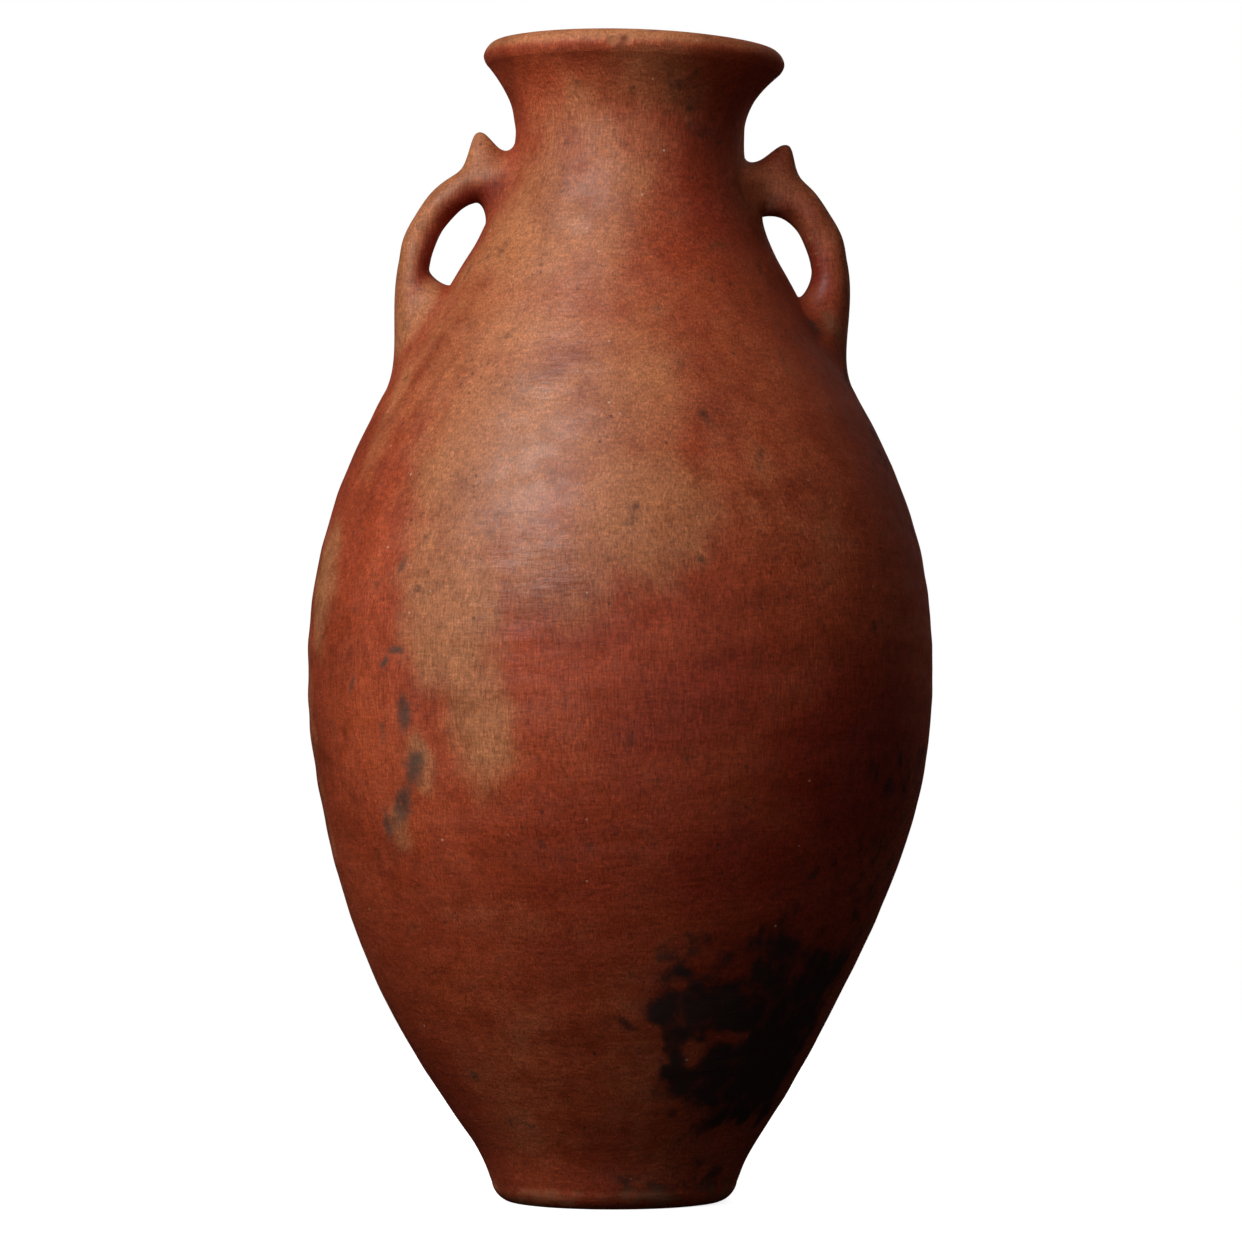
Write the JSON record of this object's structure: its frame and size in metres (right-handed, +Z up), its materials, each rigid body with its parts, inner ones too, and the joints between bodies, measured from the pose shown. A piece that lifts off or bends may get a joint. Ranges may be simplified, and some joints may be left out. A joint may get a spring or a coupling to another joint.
{
  "type": "amphora",
  "caption": "Tall hand-built clay storage jar with an ovoid body, a flat foot, a flared lip and a small horned loop handle on each side of the neck.",
  "frame": {"origin": "on the surface that the foot rests on, under the middle of the belly", "axes": "+Z up through the mouth, +X through the right-hand handle, +Y away from the side that is seen with that handle on the right"},
  "size_m": [0.3244, 0.3244, 0.6024],
  "materials": {
    "wall_slip": "burnished red and ochre slip with soot clouds, satin",
    "lip_slip": "burnished slip worn to tan clay on the crest, with small chips",
    "handle_slip": "hand-smoothed slip, worn tan on the outer edges, satin",
    "foot_clay": "slip worn to bare brown clay at the resting edge, matt"
  },
  "bodies": {
    "root": {"base_disc": "foot_clay", "lower_wall": "wall_slip", "lower_belly_wall": "wall_slip", "upper_belly_wall": "wall_slip", "shoulder_wall": "wall_slip", "neck": "wall_slip", "lip_coil": "lip_slip", "left_handle_strap": "handle_slip", "left_handle_upper_wad": "handle_slip", "left_handle_lower_wad": "handle_slip", "left_handle_horn": "handle_slip", "right_handle_strap": "handle_slip", "right_handle_upper_wad": "handle_slip", "right_handle_lower_wad": "handle_slip", "right_handle_horn": "handle_slip"}
  },
  "joints": []
}
